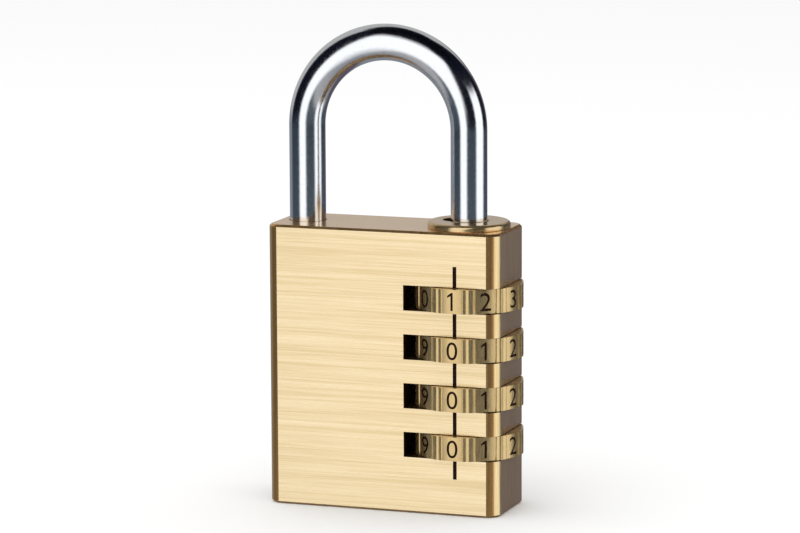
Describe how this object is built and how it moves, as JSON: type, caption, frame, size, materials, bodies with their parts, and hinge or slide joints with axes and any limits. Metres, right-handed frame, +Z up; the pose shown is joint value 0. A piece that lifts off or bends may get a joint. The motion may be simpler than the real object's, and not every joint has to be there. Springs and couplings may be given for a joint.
{
  "type": "combination padlock",
  "caption": "Brass block padlock opened by digit dials stacked on one side, with a U-shaped chromed shackle that lifts when the code is set.",
  "frame": {"origin": "centre of the body's flat bottom face", "axes": "+X from the toe leg to the dials, +Y from the face with the index line to the back, +Z up along the shackle's legs"},
  "size_m": [0.0418, 0.018, 0.0795],
  "materials": {
    "body_brass": "brushed, the strokes running across the front",
    "dial_brass": "machined, black paint in the digits",
    "collar_brass": "turned and bright",
    "plug_brass": "plain",
    "sleeve_brass": "as turned",
    "shackle_chrome": "polished chrome plate",
    "ball_steel": "polished",
    "spring_steel": "drawn wire",
    "washer_steel": "stamped, zinc plated"
  },
  "bodies": {
    "case": {"body": "body_brass", "collar": "collar_brass", "bottom_plug": "plug_brass", "reset_spring": "spring_steel", "detent_spring_1": "spring_steel", "detent_spring_2": "spring_steel", "detent_spring_3": "spring_steel", "detent_spring_4": "spring_steel"},
    "shackle": {"shackle": "shackle_chrome"},
    "dial_1": {"dial_1": "dial_brass"},
    "dial_2": {"dial_2": "dial_brass"},
    "dial_3": {"dial_3": "dial_brass"},
    "dial_4": {"dial_4": "dial_brass"},
    "sleeve_1": {"sleeve_1": "sleeve_brass"},
    "sleeve_2": {"sleeve_2": "sleeve_brass"},
    "sleeve_3": {"sleeve_3": "sleeve_brass"},
    "sleeve_4": {"sleeve_4": "sleeve_brass"},
    "detent_ball_1": {"detent_ball_1": "ball_steel"},
    "detent_ball_2": {"detent_ball_2": "ball_steel"},
    "detent_ball_3": {"detent_ball_3": "ball_steel"},
    "detent_ball_4": {"detent_ball_4": "ball_steel"},
    "thrust_washer": {"thrust_washer": "washer_steel"}
  },
  "joints": [
    {"name": "shackle_lift", "type": "slide", "parent": "case", "child": "shackle", "axis": [0, 0, 1], "range_m": [0, 0.0078]},
    {"name": "dial_1_turn", "type": "hinge", "parent": "case", "child": "dial_1", "pos_m": [0.01275, 0, 0.0357], "axis": [0, 0, 1], "continuous": true},
    {"name": "dial_2_turn", "type": "hinge", "parent": "case", "child": "dial_2", "pos_m": [0.01275, 0, 0.0276], "axis": [0, 0, 1], "continuous": true},
    {"name": "dial_3_turn", "type": "hinge", "parent": "case", "child": "dial_3", "pos_m": [0.01275, 0, 0.0195], "axis": [0, 0, 1], "continuous": true},
    {"name": "dial_4_turn", "type": "hinge", "parent": "case", "child": "dial_4", "pos_m": [0.01275, 0, 0.0114], "axis": [0, 0, 1], "continuous": true},
    {"name": "sleeve_1_reset", "type": "slide", "parent": "dial_1", "child": "sleeve_1", "axis": [0, 0, -1], "range_m": [0, 0.0013], "stiffness_N_per_m": 600, "springref_m": -0.002, "deforming": ["reset_spring"]},
    {"name": "sleeve_2_reset", "type": "slide", "parent": "dial_2", "child": "sleeve_2", "axis": [0, 0, -1], "range_m": [0, 0.0013]},
    {"name": "sleeve_3_reset", "type": "slide", "parent": "dial_3", "child": "sleeve_3", "axis": [0, 0, -1], "range_m": [0, 0.0013]},
    {"name": "sleeve_4_reset", "type": "slide", "parent": "dial_4", "child": "sleeve_4", "axis": [0, 0, -1], "range_m": [0, 0.0013]},
    {"name": "washer_reset", "type": "slide", "parent": "case", "child": "thrust_washer", "axis": [0, 0, -1], "range_m": [0, 0.0013]},
    {"name": "detent_1_press", "type": "slide", "parent": "case", "child": "detent_ball_1", "axis": [-1, 0, 0], "range_m": [0, 0.0004], "stiffness_N_per_m": 400, "springref_m": -0.001, "deforming": ["detent_spring_1"]},
    {"name": "detent_2_press", "type": "slide", "parent": "case", "child": "detent_ball_2", "axis": [-1, 0, 0], "range_m": [0, 0.0004], "stiffness_N_per_m": 400, "springref_m": -0.001, "deforming": ["detent_spring_2"]},
    {"name": "detent_3_press", "type": "slide", "parent": "case", "child": "detent_ball_3", "axis": [-1, 0, 0], "range_m": [0, 0.0004], "stiffness_N_per_m": 400, "springref_m": -0.001, "deforming": ["detent_spring_3"]},
    {"name": "detent_4_press", "type": "slide", "parent": "case", "child": "detent_ball_4", "axis": [-1, 0, 0], "range_m": [0, 0.0004], "stiffness_N_per_m": 400, "springref_m": -0.001, "deforming": ["detent_spring_4"]}
  ],
  "couplings": [
    {"joint": "sleeve_2_reset", "follows": "sleeve_1_reset", "ratio": 1},
    {"joint": "sleeve_3_reset", "follows": "sleeve_1_reset", "ratio": 1},
    {"joint": "sleeve_4_reset", "follows": "sleeve_1_reset", "ratio": 1},
    {"joint": "washer_reset", "follows": "sleeve_1_reset", "ratio": 1}
  ]
}
